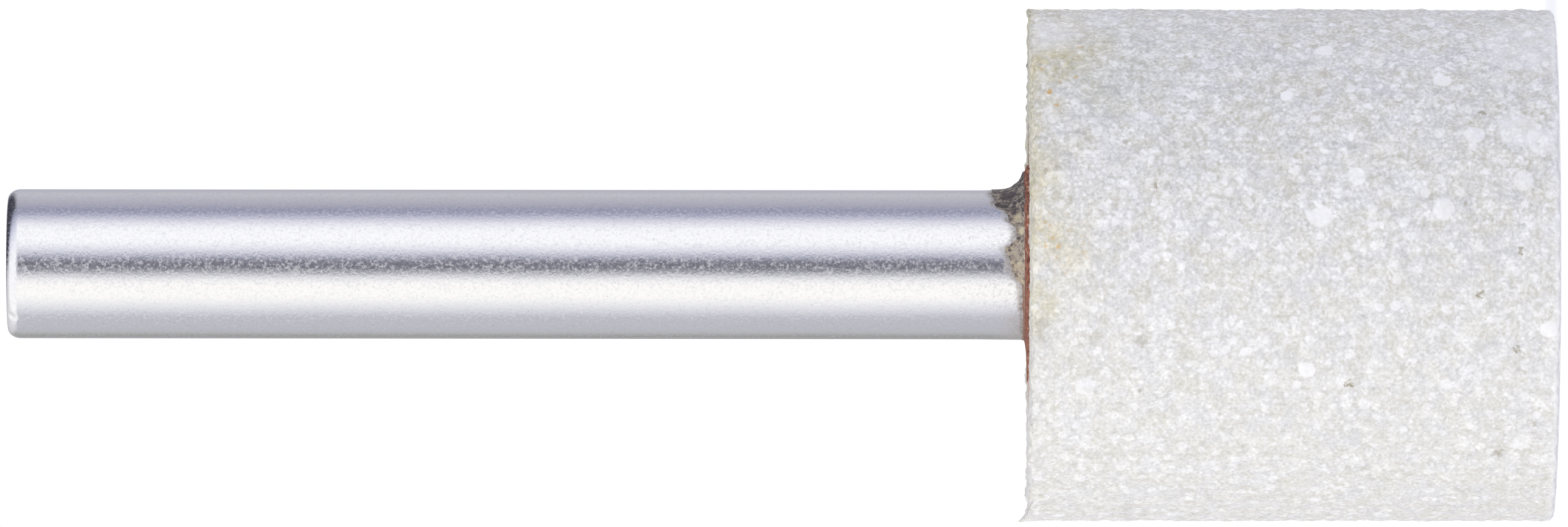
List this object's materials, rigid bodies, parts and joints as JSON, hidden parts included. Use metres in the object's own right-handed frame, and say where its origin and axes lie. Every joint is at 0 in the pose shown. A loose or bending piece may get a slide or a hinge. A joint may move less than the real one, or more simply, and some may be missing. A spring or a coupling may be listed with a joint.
{
  "type": "mounted point",
  "caption": "Cylindrical white abrasive head cemented on a round steel shank with a rounded end, held in a collet or chuck to grind and deburr.",
  "frame": {"origin": "centre of the head's flat front face, which the part stands on", "axes": "+Z along the axis from the head's front face towards the shank's free end; +X towards the side where the cement collar stands highest"},
  "size_m": [0.0206, 0.0206, 0.0622],
  "materials": {
    "abrasive": "matte",
    "steel": "satin",
    "cement": "matte",
    "collar": "matte"
  },
  "bodies": {
    "root": {"abrasive_head": "abrasive", "shank": "steel", "bonding_cement": "cement", "cement_collar": "collar"}
  },
  "joints": []
}
